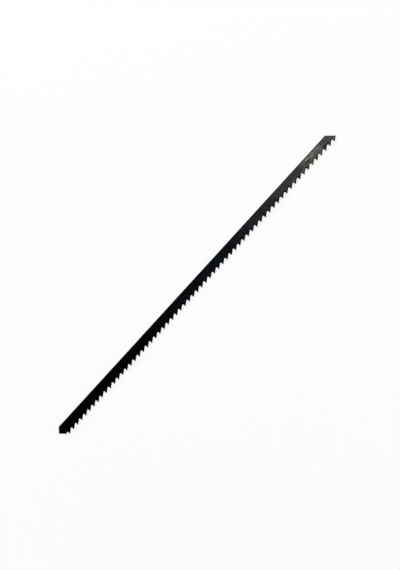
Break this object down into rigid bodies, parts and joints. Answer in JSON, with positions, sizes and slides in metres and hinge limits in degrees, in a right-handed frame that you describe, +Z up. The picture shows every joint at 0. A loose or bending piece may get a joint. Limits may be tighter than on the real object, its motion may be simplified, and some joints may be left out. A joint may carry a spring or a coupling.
{
  "type": "jigsaw blade",
  "caption": "Plain-ended jigsaw blade: a thin dark steel strip with a fine set tooth line along one whole edge, clamped at both ends to cut curves.",
  "frame": {"origin": "on the resting plane, under the middle of the blade's length and of its width at the heel", "axes": "+X along the tooth line from the heel to the nose, -Y the way the teeth point, +Z up out of the side that the picture shows"},
  "size_m": [0.165, 0.0052, 0.001],
  "materials": {
    "blade_steel": "hardened and blackened steel, satin, rubbed grey and faintly brown towards the nose"
  },
  "bodies": {
    "root": {"blade": "blade_steel"}
  },
  "joints": []
}
